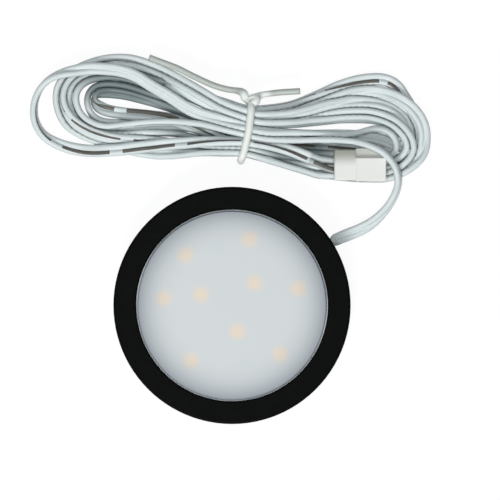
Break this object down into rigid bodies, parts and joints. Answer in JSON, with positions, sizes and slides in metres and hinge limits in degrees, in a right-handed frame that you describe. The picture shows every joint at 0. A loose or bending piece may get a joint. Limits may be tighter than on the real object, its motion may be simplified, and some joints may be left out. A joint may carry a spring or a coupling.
{
  "type": "led downlight",
  "caption": "Slim round surface-mounted LED downlight: black bezel ring round a frosted lens, with a flat two-core lead in a tied hank and a small two-way connector.",
  "frame": {"origin": "centre of the lamp's flat back face, which lies against the mounting surface", "axes": "+Z along the lamp's axis, out of the lens; the lead leaves the lamp between +X and +Y and the hank lies on the +Y side, along X"},
  "size_m": [0.1024, 0.0946, 0.011],
  "materials": {
    "bezel_black": "matt black, fine texture",
    "housing_black": "black moulding",
    "opal_lens": "frosted opal",
    "spacer_white": "white moulding",
    "board_white": "white solder mask on aluminium",
    "thermal_grey": "soft grey sheet",
    "led_phosphor": "yellow phosphor",
    "resistor_black": "black ceramic",
    "solder": "bright solder",
    "cable_white": "white flexible jacket",
    "connector_ivory": "natural white moulding",
    "pin_tin": "tinned contact",
    "tie_sleeve": "pale grey-green coating"
  },
  "bodies": {
    "root": {"bezel_ring": "bezel_black", "back_housing": "housing_black", "diffuser": "opal_lens", "spacer_ring": "spacer_white", "led_board": "board_white", "thermal_pad": "thermal_grey", "led_1": "led_phosphor", "led_2": "led_phosphor", "led_3": "led_phosphor", "led_4": "led_phosphor", "led_5": "led_phosphor", "led_6": "led_phosphor", "led_7": "led_phosphor", "led_8": "led_phosphor", "led_9": "led_phosphor", "resistor_1": "resistor_black", "resistor_2": "resistor_black", "resistor_3": "resistor_black", "solder_joint_plain": "solder", "solder_joint_marked": "solder", "cable_lead": "cable_white", "cable_hank": "cable_white", "end_core_plain": "cable_white", "end_core_marked": "cable_white", "inner_core_plain": "cable_white", "inner_core_marked": "cable_white", "connector_housing": "connector_ivory", "pin_plain": "pin_tin", "pin_marked": "pin_tin", "twist_tie": "tie_sleeve"}
  },
  "joints": []
}
